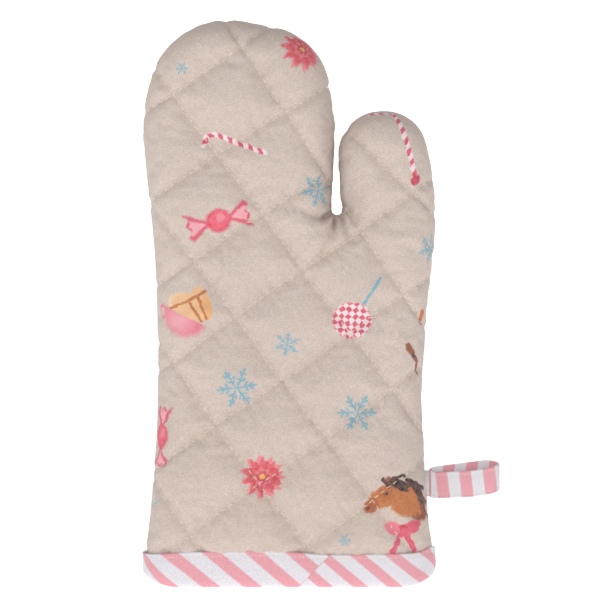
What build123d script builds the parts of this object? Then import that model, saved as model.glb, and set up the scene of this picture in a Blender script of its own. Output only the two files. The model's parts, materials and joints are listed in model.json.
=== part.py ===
"""Quilted cotton oven mitt, standing on its open cuff. Millimetres, +Z towards the fingertips.

The origin is the centre of the cuff opening, in the plane the rim stands on. +X points to the
thumb side and -Y is the face that shows the print. The mitt is two quilted panels (cotton cover,
wadding, lining) sewn together round the edge, turned out, bound at the cuff and given a tape loop.
"""
import os
from functools import lru_cache
from math import cos, radians, sin

from build123d import *

# ---- overall sizes -------------------------------------------------------------------------
hand_height = 300.0          # rim to fingertips
hand_width = 156.0           # across palm and thumb
half_depth = 22.0            # mid-plane to the outside of the front or the back panel
tip_height = 0.842 * hand_height       # top of the thumb
crotch_height = 0.657 * hand_height    # lowest point between fingers and thumb
bend_height = crotch_height + 3.0      # where fingers and thumb fold

# ---- outline, as fractions of the two overall sizes -----------------------------------------
crotch_x = 0.165 * hand_width
slot_width = 5.2             # between fingers and thumb
cuff_half_width = 0.494 * hand_width
cuff_straight = 14.0         # height over which the cuff stays parallel
thumb_width = 0.334 * hand_width
thumb_tip_radius = 0.44 * thumb_width
finger_inner_radius = 0.24 * hand_width
finger_outer_radius = 0.28 * hand_width
run_off = 40.0               # outline carried on below the rim before it is trimmed

# ---- cloth -----------------------------------------------------------------------------------
cover_thickness = 0.8
wadding_thickness = 5.0
lining_thickness = 0.5
layer_gap = 0.2              # clearance between two layers of cloth
pressed_wadding = 1.2        # wadding squeezed flat in the seam allowance
edge_radius = min(half_depth - 3.0, 0.365 * thumb_width)

cover_inner = cover_thickness
wadding_outer = cover_inner + layer_gap
wadding_inner = wadding_outer + wadding_thickness
lining_outer = wadding_inner + layer_gap
lining_inner = lining_outer + lining_thickness

# ---- seams -----------------------------------------------------------------------------------
seam_allowance = 14.0        # turned inwards, measured from the outline
seam_half_gap = 0.1          # half the space between the two panels
groove_half_width = 0.35     # seam groove along the outside
thread = 0.5                 # sewing thread
thread_gap = 0.12            # clearance round a thread
thread_height = 0.25         # how far a stitch stands above the cloth
split_gap = 0.3              # between the sections of one cloth at the bend
overlock_reach = 3.6
overlock_thickness = 0.4

wadding_seam = seam_half_gap + cover_thickness + layer_gap
lining_seam = wadding_seam + pressed_wadding + layer_gap
overlock_seam = lining_seam + lining_thickness + layer_gap

# ---- quilting --------------------------------------------------------------------------------
quilt_pitch_up = 38.6        # between the lines that climb to the right
quilt_pitch_down = 40.9      # between the lines that fall to the right
quilt_angle_up = 36.3
quilt_angle_down = -54.6
quilt_x = 0.179 * hand_width           # one crossing of the grid
quilt_z = 0.445 * hand_height

# ---- cuff binding ------------------------------------------------------------------------------
binding_height = 17.8
binding_thickness = 1.0
binding_gap = 0.2
stitch_drop = 2.2            # top edge of the binding down to its row of stitches
cloth_start = binding_thickness + binding_gap
allowance_start = binding_height + 1.4

# ---- hanging loop ------------------------------------------------------------------------------
tape_width = 14.0
tape_thickness = 1.2
tape_pressed = 0.7           # both ends of the tape, squeezed in the seam
tape_low = 46.3              # lower edge of the tape
loop_reach = 38.0            # root to the far fold
loop_far_radius = 5.6
loop_root_radius = 1.5
loop_clearance = 0.5         # mitt edge to the root of the loop
tape_caught = 12.0           # tape sewn into the seam
tape_margin = 1.6            # edge of the tape to its stitches

FAR = 1000.0                 # larger than the mitt
PALM, FINGERS, THUMB = "palm", "fingers", "thumb"


def block(x0, x1, y0, y1, z0, z1):
    """Box between two corners."""
    centre = ((x0 + x1) / 2, (y0 + y1) / 2, (z0 + z1) / 2)
    return Pos(*centre) * Box(x1 - x0, y1 - y0, z1 - z0)


def mitt_corners():
    """Corners of the outline before rounding: x, z and the radius of each, clockwise."""
    width, height = hand_width, hand_height
    slot = slot_width / 2
    return [
        (-cuff_half_width, -run_off, 0),
        (-cuff_half_width, cuff_straight, 150),
        (-0.417 * width, 0.380 * height, 770),
        (-0.506 * width, 0.823 * height, 107),
        (-0.421 * width, 1.026 * height, finger_outer_radius),
        (0.113 * width, 0.974 * height, finger_inner_radius),
        (0.161 * width, 0.820 * height, 90),
        (crotch_x - slot, crotch_height, 0.46 * slot_width),
        (crotch_x + slot, crotch_height, 0.46 * slot_width),
        (crotch_x + 0.005 * width, 0.725 * height, 90),
        (crotch_x + 0.010 * thumb_width, tip_height + 0.4, thumb_tip_radius),
        (crotch_x + 0.833 * thumb_width, tip_height - 1.2, thumb_tip_radius),
        (crotch_x + 1.046 * thumb_width, 0.692 * height, 153),
        (0.446 * width, 0.331 * height, 420),
        (cuff_half_width, cuff_straight, 150),
        (cuff_half_width, -run_off, 0),
    ]


def cuff_corners():
    """The lowest part of the same outline, closed straight across between the two waists."""
    corners = mitt_corners()
    left, right = corners[2], corners[-3]
    return [*corners[:2], (*left[:2], 0), (*right[:2], 0), *corners[-2:]]


def moved_in(corners, inset):
    """The same rounded corners with every side of the outline moved inwards."""
    points = [Vector(x, z) for x, z, _ in corners]
    moved = []
    for i, (_, _, radius) in enumerate(corners):
        here = points[i]
        arriving = (here - points[i - 1]).normalized()
        leaving = (points[(i + 1) % len(points)] - here).normalized()
        inward_a, inward_b = (Vector(d.Y, -d.X) for d in (arriving, leaving))
        here += (inward_a + inward_b) * (inset / (1 + inward_a.dot(inward_b)))
        convex = arriving.cross(leaving).Z < 0
        moved.append((here.X, here.Y, radius and radius + (-inset if convex else inset)))
    return moved


@lru_cache(maxsize=None)
def outline(inset=0.0, corners=mitt_corners):
    """Face in the XZ plane: the mitt's outline moved inwards by inset."""
    moved = moved_in(corners(), inset)
    edge = FilletPolyline(*[(x, z) for x, z, _ in moved], radius=[r for _, _, r in moved[1:-1]])
    face = make_face([*edge.edges(), Line(moved[-1][:2], moved[0][:2])])
    return Plane.XZ * face


@lru_cache(maxsize=None)
def body(inset=0.0, corners=mitt_corners):
    """The whole mitt as one soft solid, with its surface moved inwards by inset."""
    slab = extrude(outline(inset, corners), amount=half_depth - inset, both=True)
    ends = slab.edges().filter_by(GeomType.LINE).filter_by(lambda e: e.length > cuff_half_width)
    rim = [e for side in (0, -1) for e in slab.edges().group_by(Axis.Y)[side] if e not in ends]
    return fillet(rim, edge_radius - inset)


def shell(outer, inner, corners=mitt_corners):
    """Closed sleeve between two insets of the mitt's surface."""
    return body(outer, corners) - body(inner, corners)


def above(z):
    return block(-FAR, FAR, -FAR, FAR, z, FAR)


def half(solid, side, y):
    """The part of a solid beyond y on the front (-1) or back (+1) side."""
    return solid & (block(-FAR, FAR, -FAR, -y, -FAR, FAR) if side < 0 else
                    block(-FAR, FAR, y, FAR, -FAR, FAR))


def sections(solid):
    """Split a cloth at the bend into palm, fingers and thumb."""
    low, high = bend_height - split_gap / 2, bend_height + split_gap / 2
    return {
        PALM: solid & block(-FAR, FAR, -FAR, FAR, -FAR, low),
        FINGERS: solid & block(-FAR, crotch_x, -FAR, FAR, high, FAR),
        THUMB: solid & block(crotch_x, FAR, -FAR, FAR, high, FAR),
    }


def allowance(side, inset, y, thickness):
    """Flat strip of a panel turned inwards at the side seam."""
    opening = outline(seam_allowance).face() + (
        outline(lining_inner).face() & (Plane.XZ * Rectangle(FAR, 2 * allowance_start)))
    strip = extrude(outline(inset) - opening, amount=thickness)
    return Pos(0, -y if side < 0 else y + thickness, 0) * strip


def tape_pocket():
    """Room between the two panels for the caught ends of the tape."""
    reach = tape_pressed / 2 + seam_half_gap
    return block(crotch_x, FAR, -reach, reach, tape_low - layer_gap,
                 tape_low + tape_width + layer_gap)


def cover(side):
    wall = half(shell(0.0, cover_inner), side, seam_half_gap)
    strip = allowance(side, cover_thickness / 2, seam_half_gap, cover_thickness)
    groove = block(-FAR, FAR, -groove_half_width, groove_half_width, -FAR, FAR)
    groove = groove - body(cover_inner + thread_gap)
    return ((wall + strip) - groove - tape_pocket()) & above(cloth_start)


def wadding(side):
    wall = half(shell(wadding_outer, wadding_inner), side, wadding_seam)
    strip = allowance(side, wadding_inner - 1.0, wadding_seam, pressed_wadding)
    return (wall + strip) & above(cloth_start)


def lining(side):
    wall = half(shell(lining_outer, lining_inner), side, lining_seam)
    strip = allowance(side, lining_outer + lining_thickness / 2, lining_seam, lining_thickness)
    return (wall + strip) & above(cloth_start)


def quilt_lines(pitch, angle):
    """Thin parallel slabs through the mitt, one for each row of quilting."""
    reach = int((hand_height + hand_width) / pitch)
    tilt = radians(angle)
    slabs = []
    for row in range(-reach, reach + 1):
        place = Pos(quilt_x - row * pitch * sin(tilt), 0, quilt_z + row * pitch * cos(tilt))
        slabs.append(place * Rot(0, -angle, 0) * Box(FAR, 2 * FAR, thread))
    return slabs


def quilting(side):
    """Rows of quilting stitches, lying on the outside of a panel."""
    skin = half(shell(-thread_gap - thread_height, -thread_gap), side, 2 * groove_half_width)
    skin = skin & above(binding_height + layer_gap)
    lines = quilt_lines(quilt_pitch_up, quilt_angle_up) + quilt_lines(
        quilt_pitch_down, quilt_angle_down)
    runs = [skin & line for line in lines]
    return Part() + [solid for run in runs if run for solid in run.solids()]


def seam_thread():
    """The sewing line in the groove between the two covers."""
    ring = extrude(outline(thread_gap) - outline(cover_inner), amount=thread / 2, both=True)
    return (ring - tape_pocket()) & above(allowance_start)


def overlock_thread():
    """Overlocking over the raw edge of the seam allowance, inside the mitt."""
    outer_y = overlock_seam + overlock_thickness
    end = seam_allowance + layer_gap
    channel = extrude(outline(end - overlock_reach) - outline(end + overlock_thickness),
                      amount=outer_y, both=True)
    room = extrude(outline(end - overlock_reach - 1) - outline(end), amount=overlock_seam, both=True)
    return (channel - room) & above(allowance_start + layer_gap)


def cuff_shell(outer, inner):
    return shell(outer, inner, cuff_corners)


def cuff_binding():
    """Folded strip over the raw rim: outer leaf, bottom fold and inner leaf."""
    outer = -binding_gap - binding_thickness
    inner = lining_inner + binding_gap + binding_thickness
    leaves = cuff_shell(outer, inner) & block(-FAR, FAR, -FAR, FAR, 0, binding_height)
    room = cuff_shell(-binding_gap, inner - binding_thickness)
    return leaves - (room & above(binding_thickness))


def binding_stitching():
    """One row of thread round the outside of the binding and one round the inside."""
    outside = -binding_gap - binding_thickness - thread_gap
    inside = lining_inner + binding_gap + binding_thickness + thread_gap
    row = binding_height - stitch_drop
    level = block(-FAR, FAR, -FAR, FAR, row - thread / 2, row + thread / 2)
    rings = [cuff_shell(outside - thread_height, outside) & level,
             cuff_shell(inside, inside + thread_height) & level]
    return Part() + [solid for ring in rings for solid in ring.solids()]


def loop_root_x():
    """Hinge of the loop, just outside the side seam at the tape's lower edge."""
    edge = outline().face() & (Plane.XZ * Pos(0, tape_low) * Rectangle(FAR, 1.0))
    return edge.bounding_box().max.X + loop_clearance + loop_root_radius


def loop_plan(inset=0.0):
    """Teardrop seen from above: narrow at the seam, round at the far fold."""
    root_x = loop_root_x()
    far_x = root_x - loop_root_radius + loop_reach - loop_far_radius
    circles = [Pos(root_x, 0) * Circle(loop_root_radius - inset),
               Pos(far_x, 0) * Circle(loop_far_radius - inset)]
    return make_hull([edge for circle in circles for edge in circle.edges()])


def hanging_loop():
    ring = extrude(loop_plan() - loop_plan(tape_thickness), amount=tape_width)
    return Pos(0, 0, tape_low) * ring


def loop_stitching():
    """Thread along both edges of the tape, on its outside."""
    ring = loop_plan(-thread_gap - thread_height) - loop_plan(-thread_gap)
    ring = extrude(ring, amount=thread)
    beyond = block(loop_root_x() + 2 * loop_root_radius, FAR, -FAR, FAR, -FAR, FAR)
    levels = (tape_low + tape_margin, tape_low + tape_width - tape_margin - thread)
    return Part() + [(Pos(0, 0, z) * ring) & beyond for z in levels]


def loop_ends():
    """Both ends of the tape, pressed flat and caught in the side seam."""
    strip = extrude(outline() - outline(tape_caught), amount=tape_pressed / 2, both=True)
    return strip & block(crotch_x, FAR, -FAR, FAR, tape_low, tape_low + tape_width)


def build():
    parts = {}
    for name, side in (("front", -1), ("back", 1)):
        for layer in (cover, wadding, lining, quilting):
            for section, solid in sections(layer(side)).items():
                parts[f"{name}_{layer.__name__}_{section}"] = solid
    for layer in (seam_thread, overlock_thread):
        for section, solid in sections(layer()).items():
            parts[f"{layer.__name__}_{section}"] = solid
    for single in (cuff_binding, binding_stitching, hanging_loop, loop_stitching, loop_ends):
        parts[single.__name__] = single()
    return parts


os.makedirs("parts", exist_ok=True)
for part_name, part_solid in build().items():
    export_step(part_solid, f"parts/{part_name}.step")
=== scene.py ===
"""Looks of a quilted cotton oven mitt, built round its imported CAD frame.

The shape functions work in millimetres, and meshes are scaled to metres when they are made.
"""
import json
import math
from functools import lru_cache

import bpy
import numpy as np
from mathutils import Matrix, Vector
from mathutils.bvhtree import BVHTree
from mathutils.geometry import delaunay_2d_cdt


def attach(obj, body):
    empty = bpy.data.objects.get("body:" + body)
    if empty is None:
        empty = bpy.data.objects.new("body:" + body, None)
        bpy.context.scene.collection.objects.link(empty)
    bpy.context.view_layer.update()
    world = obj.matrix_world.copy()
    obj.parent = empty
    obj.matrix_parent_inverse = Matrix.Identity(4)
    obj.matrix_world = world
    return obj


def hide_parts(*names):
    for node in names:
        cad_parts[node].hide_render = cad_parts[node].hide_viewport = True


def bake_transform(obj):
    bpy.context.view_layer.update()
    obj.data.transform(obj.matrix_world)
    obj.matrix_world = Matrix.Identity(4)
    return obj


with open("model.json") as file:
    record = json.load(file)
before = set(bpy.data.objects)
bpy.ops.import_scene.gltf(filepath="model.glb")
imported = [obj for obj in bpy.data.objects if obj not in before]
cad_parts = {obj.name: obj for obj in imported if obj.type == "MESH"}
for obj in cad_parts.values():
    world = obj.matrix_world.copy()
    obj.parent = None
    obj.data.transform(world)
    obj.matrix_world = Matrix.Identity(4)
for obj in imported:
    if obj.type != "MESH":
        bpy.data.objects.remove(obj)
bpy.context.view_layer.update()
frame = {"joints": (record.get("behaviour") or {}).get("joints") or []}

bl_info = {
    "name": "Quilted oven mitt",
    "version": (1, 0, 0),
    "blender": (4, 5, 0),
    "location": "View3D > Sidebar > Oven mitt",
    "description": "Builds the quilted panels, stitches, binding and hanging loop of an oven mitt",
    "category": "Add Mesh",
}

MM = 0.001
JOINTS = {joint["name"]: joint for joint in frame["joints"]}
BEND_Z = JOINTS["finger_curl"]["pos_m"][2] / MM
LOOP_X, _, LOOP_Z = (value / MM for value in JOINTS["loop_swing"]["pos_m"])
SPLIT_Z = BEND_Z - 2.0       # hand and thumb pieces meet here, just above the crotch
FRAMES = 24                  # length of the cloth simulation


def linear(code):
    """Linear colour of an sRGB hex code."""
    parts = [int(code[i:i + 2], 16) / 255 for i in (1, 3, 5)]
    return tuple(c / 12.92 if c <= 0.04045 else ((c + 0.055) / 1.055) ** 2.4 for c in parts)


def size(name, value, about, low=0.0):
    """A length in metres for the sidebar, given in millimetres."""
    return bpy.props.FloatProperty(name=name, description=about, default=value * MM, min=low * MM,
                                   unit="LENGTH", precision=5)


def colour(name, code, about):
    return bpy.props.FloatVectorProperty(name=name, description=about, default=linear(code), size=3,
                                         min=0.0, max=1.0, subtype="COLOR")


class MITT_PG_shape(bpy.types.PropertyGroup):
    height: size("Height", 300, "Rim to fingertips")
    width: size("Width", 156, "Across palm and thumb")
    edge_run: size("Edge run", 20, "How far in from the side seam the panel turns flat")
    crease_depth: size("Crease depth", 20.8, "Mid-plane to the rows of quilting")
    thickness: size("Thickness", 6.2, "Cover, wadding and lining together")
    mesh_step: size("Mesh step", 2.9, "Spacing of the cloth mesh before it is subdivided", 1)
    bend_length: size("Bend length", 48, "Height over which the cloth curls at the fingers")
    allowance: size("Seam allowance", 14, "Raw edge inside, measured from the side seam")


class MITT_PG_quilting(bpy.types.PropertyGroup):
    puff: size("Puff", 2.1, "How far the squares rise above their rows of stitches")
    stitch_pitch: size("Stitch pitch", 4.05, "Needle hole to needle hole", 1)
    stitch_length: size("Stitch length", 3.0, "Thread seen between two needle holes")
    stitch_width: size("Stitch width", 0.6, "Width of the thread")
    seam_pitch: size("Seam stitch pitch", 2.6, "Needle hole to needle hole in the side seam")
    slack: bpy.props.FloatProperty(name="Slack", default=0.03, min=0.0, max=0.2,
                                   description="Extra cloth between the rows, as a share")


class MITT_PG_binding(bpy.types.PropertyGroup):
    height: size("Binding height", 17.8, "Rim to the binding's upper edge")
    stitch_pitch: size("Binding stitch pitch", 2.3, "Needle hole to needle hole", 1)
    stitch_drop: size("Binding stitch drop", 2.2, "Upper edge down to the row of stitches")
    tape_width: size("Tape width", 14, "Width of the hanging loop's tape")
    tape_thickness: size("Tape thickness", 1.3, "Folded tape of the hanging loop")
    loop_rise: size("Loop rise", 6.0, "How much higher the loop's far fold is than its root")


class MITT_PG_colours(bpy.types.PropertyGroup):
    canvas: colour("Canvas", "#D6C6BC", "Ground of the printed cotton")
    lining: colour("Lining", "#E9E2D8", "Plain cotton inside")
    thread: colour("Thread", "#EADBCB", "Quilting and sewing thread")
    overlock: colour("Overlock thread", "#F1EEE8", "Thread over the raw edges inside")
    stripe: colour("Stripe", "#EDA9B3", "Pink stripe of binding and tape")
    stripe_ground: colour("Stripe ground", "#E9E7EC", "White between the stripes")


def prop(group, name):
    """A size from the sidebar, in millimetres."""
    return getattr(getattr(bpy.context.scene, group), name) / MM


# ---------------------------------------------------------------- outline and panel surface

def crotch():
    """Lowest point between the fingers and the thumb."""
    return np.array((0.165 * prop("mitt_shape", "width"), 0.657 * prop("mitt_shape", "height")))


@lru_cache(maxsize=None)
def outline_corners():
    """Corners of the mitt's outline before rounding: x, z and radius, clockwise from the cuff."""
    width, height = prop("mitt_shape", "width"), prop("mitt_shape", "height")
    (fork_x, fork_z), thumb, tip = crotch(), 0.334 * width, 0.842 * height
    cuff, slot, run_off = 0.494 * width, 2.6, 40.0
    return np.array([
        (-cuff, -run_off, 0), (-cuff, 14, 150), (-0.417 * width, 0.380 * height, 770),
        (-0.506 * width, 0.823 * height, 107), (-0.421 * width, 1.026 * height, 0.28 * width),
        (0.113 * width, 0.974 * height, 0.24 * width), (0.161 * width, 0.820 * height, 90),
        (fork_x - slot, fork_z, 2.4), (fork_x + slot, fork_z, 2.4),
        (fork_x + 0.005 * width, 0.725 * height, 90),
        (fork_x + 0.010 * thumb, tip + 0.4, 0.44 * thumb),
        (fork_x + 0.833 * thumb, tip - 1.2, 0.44 * thumb),
        (fork_x + 1.046 * thumb, 0.692 * height, 153), (0.446 * width, 0.331 * height, 420),
        (cuff, 14, 150), (cuff, -run_off, 0),
    ], float)


@lru_cache(maxsize=None)
def rounded_outline(step, inset=0.0):
    """Points along the outline moved in by inset, as many of them whatever the inset."""
    corners = outline_corners()
    spots, radii = corners[:, :2], corners[:, 2]
    points, left_at = [spots[0] + (inset, 0)], spots[0]
    for here, radius, before, after in zip(spots[1:-1], radii[1:-1], spots, spots[2:]):
        back, ahead = before - here, after - here
        back, ahead = back / np.linalg.norm(back), ahead / np.linalg.norm(ahead)
        half = math.acos(float(np.clip(back @ ahead, -1, 1))) / 2
        convex = back[0] * ahead[1] - back[1] * ahead[0] > 0
        centre = here + (back + ahead) / np.linalg.norm(back + ahead) * radius / math.sin(half)
        reach, turn = radius / math.tan(half), math.pi - 2 * half
        first = here + back * reach
        count = max(2, math.ceil(turn * (radius if convex else radius + 8) / step))
        moved = radius - inset if convex else radius + inset
        start = math.atan2(*(first - centre)[::-1])
        angles = start + np.linspace(0, -turn if convex else turn, count + 1)
        arc = centre + moved * np.column_stack((np.cos(angles), np.sin(angles)))
        run = max(1, round(float(np.linalg.norm(first - left_at)) / step))
        points += [points[-1] + (arc[0] - points[-1]) * j / run for j in range(1, run)]
        points += list(arc)
        left_at = here + ahead * reach
    run = round(54 / step)
    end = spots[-1] - (inset, 0)
    points += [points[-1] + (end - points[-1]) * j / run for j in range(1, run + 1)]
    return np.array(points)


def nearest(points, a, b):
    """For each point: distance to the nearest segment, its number, and the share along it."""
    along = b - a
    square = (along ** 2).sum(1) + 1e-12
    best, pick, share = (np.empty(len(points)) for _ in range(3))
    for i in range(0, len(points), 2000):
        part = points[i:i + 2000, None]
        t = np.clip(((part - a) * along).sum(2) / square, 0, 1)
        far = ((a + along * t[..., None] - part) ** 2).sum(2)
        chosen, rows = far.argmin(1), np.arange(far.shape[0])
        best[i:i + 2000] = np.sqrt(far[rows, chosen])
        pick[i:i + 2000], share[i:i + 2000] = chosen, t[rows, chosen]
    return best, pick.astype(int), share


def unit(rows):
    """Each row made one long."""
    return rows / np.linalg.norm(rows, axis=1)[:, None]


def run_lengths(points):
    """Length run along a path up to each of its points."""
    return np.concatenate(([0], np.cumsum(np.linalg.norm(np.diff(points, axis=0), axis=1))))


def spots_at(at, length, points):
    """Where a path is after each length in at."""
    return np.column_stack([np.interp(at, length, column) for column in points.T])


def smooth(low, high, values):
    """Shares from 0 at low to 1 at high, easing in and out."""
    t = np.clip((values - low) / (high - low), 0, 1)
    return t * t * (3 - 2 * t)


def inside(points, line):
    """Which points lie inside the closed outline."""
    found = np.zeros(len(points), bool)
    x, z = points[:, 0], points[:, 1]
    for (ax, az), (bx, bz) in zip(line, np.roll(line, -1, axis=0)):
        crosses = (az > z) != (bz > z)
        found ^= crosses & (x < (bx - ax) * (z - az) / (bz - az + 1e-12) + ax)
    return found


@lru_cache(maxsize=None)
def edge_curve():
    """Quarter ellipse from the side seam to the flat of the panel: angles and arc lengths."""
    run, depth = prop("mitt_shape", "edge_run"), prop("mitt_shape", "crease_depth")
    quarter = np.linspace(0, math.pi / 2, 91)
    rate = np.hypot(run * np.sin(quarter), depth * np.cos(quarter))
    length = np.concatenate(([0], np.cumsum((rate[1:] + rate[:-1]) / 2 * np.diff(quarter))))
    return quarter, length


def surface(points):
    """Where points of the plane lie on a panel facing +Y: place, inset, way out, spare cloth."""
    run, depth = prop("mitt_shape", "edge_run"), prop("mitt_shape", "crease_depth")
    line, (quarter, length) = rounded_outline(2.0), edge_curve()
    inset, pick, share = nearest(points, line[:-1], line[1:])
    foot = line[pick] + (line[pick + 1] - line[pick]) * share[:, None]
    out = (foot - points) / np.maximum(inset, 1e-6)[:, None]
    normals = unit(np.diff(line, axis=0) @ np.array(((0, 1), (-1, 0))))
    out = np.where(inset[:, None] < 0.05, normals[pick], out)
    angle = np.arccos(np.clip(1 - inset / run, 0, 1))
    y = depth * np.sin(angle)
    spare = length[-1] - np.interp(angle, quarter, length) - np.maximum(run - inset, 0)
    spare = np.maximum(spare, 0)
    groove = np.exp(-(y / 0.9) ** 2)
    place = points - out * groove[:, None]
    return np.column_stack((place[:, 0], y, place[:, 1])), inset, out, spare


def cuff_row():
    """Height at which the cloth comes out of the binding."""
    return prop("mitt_binding", "height") - prop("mitt_binding", "stitch_drop")


@lru_cache(maxsize=None)
def quilt_rows(step):
    """Rows of quilting as points on the plane, evenly spaced along the cloth.

    Spacing and angle are the CAD grid's, and each row is turned or moved a little, as hand-guided
    quilting is.
    """
    up = [(-24.9, 285.2, 34.3), (-38.9, 226.8, 32.8), (-13.8, 196.3, 33.0), (7.1, 166.9, 34.9),
          (-3.6, 109.1, 34.8), (18.3, 78.1, 35.6), (41.9, 44.4, 36.0)]
    down = [(-0.9, 249.3, -57.2), (-13.8, 196.3, -53.4), (-26.6, 140.7, -53.2),
            (-38.9, 86.7, -54.0), (-51.8, 28.4, -54.0), (60.1, 213.5, -44.5)]
    rows = []
    run = np.arange(-330, 330, 0.5)
    for index, (x, z, degrees) in enumerate(up + down):
        angle = math.radians(degrees)
        wander = 0.5 * np.sin(run / 17 + index) + 0.25 * np.sin(run / 5.3 + 2 * index)
        points = (x, z) + np.outer(run, (math.cos(angle), math.sin(angle)))
        points += np.outer(wander, (-math.sin(angle), math.cos(angle)))
        kept = inside(points, rounded_outline(2.0, 1.0)) & (points[:, 1] > cuff_row() + 2)
        if index == 2:  # this row stops at the folds below the crotch
            kept &= points[:, 0] < crotch()[0] - 8
        if index == 12:  # and this one is on the thumb alone
            kept &= points[:, 0] > crotch()[0]
        cuts = np.flatnonzero(np.diff(np.concatenate(([0], kept.astype(int), [0]))))
        for first, last in cuts.reshape(-1, 2):
            part = points[first:last]
            if len(part) < 24:
                continue
            length = run_lengths(surface(part)[0])
            at = np.linspace(0, length[-1], max(2, round(length[-1] / step)) + 1)
            rows.append(spots_at(at, length, part))
    return rows


def row_segments(step):
    """All rows as segments, with the length run along its own row where each one starts."""
    rows = quilt_rows(step)
    a, b = (np.vstack([row[k:len(row) - 1 + k] for row in rows]) for k in (0, 1))
    start = np.concatenate([step * np.arange(len(row) - 1) for row in rows])
    return a, b, start


# ---------------------------------------------------------------- quilted panels

def spread(points, out, spare):
    """The plane with its edges let out, so that triangles there suit the turned cloth.

    Beside the crotch there is no room to let them out, as fingers and thumb would overlap.
    """
    fork = crotch()
    away = np.hypot(points[:, 0] - fork[0], np.maximum(points[:, 1] - fork[1] - 54, 0)
                    + np.maximum(fork[1] - points[:, 1], 0))
    return points + out * (spare * (0.08 + 0.92 * smooth(16, 40, away)))[:, None]


def flat_mesh():
    """Triangles over a panel, with the rows of quilting and the split at the thumb as edges."""
    step, base, fork = prop("mitt_shape", "mesh_step"), 1.4, crotch()
    rim = rounded_outline(step)
    rim = rim[rim[:, 1] > base + 0.8]
    rim = np.vstack(((rim[0, 0], base), rim, (rim[-1, 0], base)))
    across = np.linspace(rim[-1, 0], rim[0, 0], round(150 / step))[1:-1]
    boundary = np.vstack((rim, np.column_stack((across, np.full(len(across), base)))))
    right = rim[rim[:, 1] > SPLIT_Z][:, 0].max()
    split = np.column_stack((np.arange(fork[0] + 0.2, right + 9, 2.2),
                             np.full(round((right + 8.8 - fork[0]) / 2.2 + 0.5), SPLIT_Z)))
    split = split[inside(split, rounded_outline(2.0, 0.4))]
    chains = [boundary, *quilt_rows(step * 0.8), split]
    fixed = np.vstack(chains)

    grid = np.array([(x + (k % 2) * step / 2, z) for k, z in
                     enumerate(np.arange(2, 305, step * 0.866)) for x in np.arange(-90, 90, step)])
    fine = np.array([(x, z) for x in np.arange(fork[0] - 30, fork[0] + 14, 1.5)
                     for z in np.arange(SPLIT_Z - 36, SPLIT_Z + 2, 1.5)])
    fine = fine[np.hypot(*(fine - fork - (-5, 0)).T) < 34]
    quarter, length = edge_curve()
    turned = 12.5
    arcs = np.interp(np.arange(step, length[-1], step), length, quarter)
    insets = prop("mitt_shape", "edge_run") * (1 - np.cos(arcs))
    rings = [rounded_outline(step, round(float(s), 3)) for s in insets if s < turned]
    loose = np.vstack((fine[inside(fine, rounded_outline(2.0, 1.2))], *rings,
                       grid[inside(grid, rounded_outline(2.0, turned + step / 2))]))
    loose = loose[loose[:, 1] > base + 1.2]
    kept, cells = [], {}
    spots = np.vstack((surface(fixed)[0], surface(loose)[0]))
    for i, (spot, cell) in enumerate(zip(spots, map(tuple, np.floor(spots / 3).astype(int)))):
        if i >= len(fixed):
            close = [q for dx in (-1, 0, 1) for dy in (-1, 0, 1) for dz in (-1, 0, 1)
                     for q in cells.get((cell[0] + dx, cell[1] + dy, cell[2] + dz), ())]
            gap = 1.0 if i - len(fixed) < len(fine) else step * 0.45
            if close and (np.abs(np.array(close) - spot) ** 2).sum(1).min() < gap ** 2:
                continue
            kept.append(loose[i - len(fixed)])
        cells.setdefault(cell, []).append(spot)
    points = np.vstack((fixed, kept))
    _, _, out, spare = surface(points)
    plane = spread(points, out, spare)
    edges, chain_ids, start = [], [], 0
    for chain in chains:
        ids = list(range(start, start + len(chain)))
        edges += list(zip(ids, ids[1:]))
        chain_ids.append(ids)
        start += len(chain)
    edges.append((len(boundary) - 1, 0))
    made, _, faces, origin, _, _ = delaunay_2d_cdt([Vector(p) for p in plane], edges, [], 0, 1e-5)
    source = {old: new for new, olds in enumerate(origin) for old in olds}
    made, faces = np.array(made), np.array(faces)
    flat = np.empty((len(made), 2))
    for old, new in source.items():
        flat[new] = points[old]
    lost = [new for new, olds in enumerate(origin) if not len(olds)]
    for new in lost:  # a point made where two rows cross
        near = np.hypot(*(plane - made[new]).T).argsort()[:2]
        flat[new] = made[new] + (points[near] - plane[near]).mean(0)
    faces = faces[inside(made[faces].mean(1), plane[:len(boundary)])]
    a, b, c = (made[faces[:, k]] for k in range(3))
    turn = (b - a)[:, 0] * (c - a)[:, 1] - (b - a)[:, 1] * (c - a)[:, 0]
    faces = faces[np.abs(turn) > 1e-6]
    turn = turn[np.abs(turn) > 1e-6]
    faces[turn > 0] = faces[turn > 0][:, ::-1]
    used = np.unique(faces)
    renumber = np.full(len(made), -1)
    renumber[used] = np.arange(len(used))
    rows = {int(renumber[source[i]]) for ids in chain_ids[1:-1] for i in ids if i in source}
    return flat[used], renumber[faces], np.array(sorted(rows - {-1}))


def make_object(name, verts, faces, materials=(), places=None):
    """Mesh object from points in millimetres; places are the cloth's, one for each face corner."""
    mesh = bpy.data.meshes.new(name)
    mesh.from_pydata((np.asarray(verts) * MM).tolist(), [], [list(map(int, f)) for f in faces])
    for material in materials:
        mesh.materials.append(material)
    if places is not None:
        mesh.uv_layers.new(name="cloth").data.foreach_set("uv", (np.asarray(places) * MM).ravel())
    mesh.shade_smooth()
    obj = bpy.data.objects.new(name, mesh)
    bpy.context.scene.collection.objects.link(obj)
    return obj


def points_of(mesh):
    spots = np.empty(len(mesh.vertices) * 3)
    mesh.vertices.foreach_get("co", spots)
    return spots.reshape(-1, 3) / MM


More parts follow.
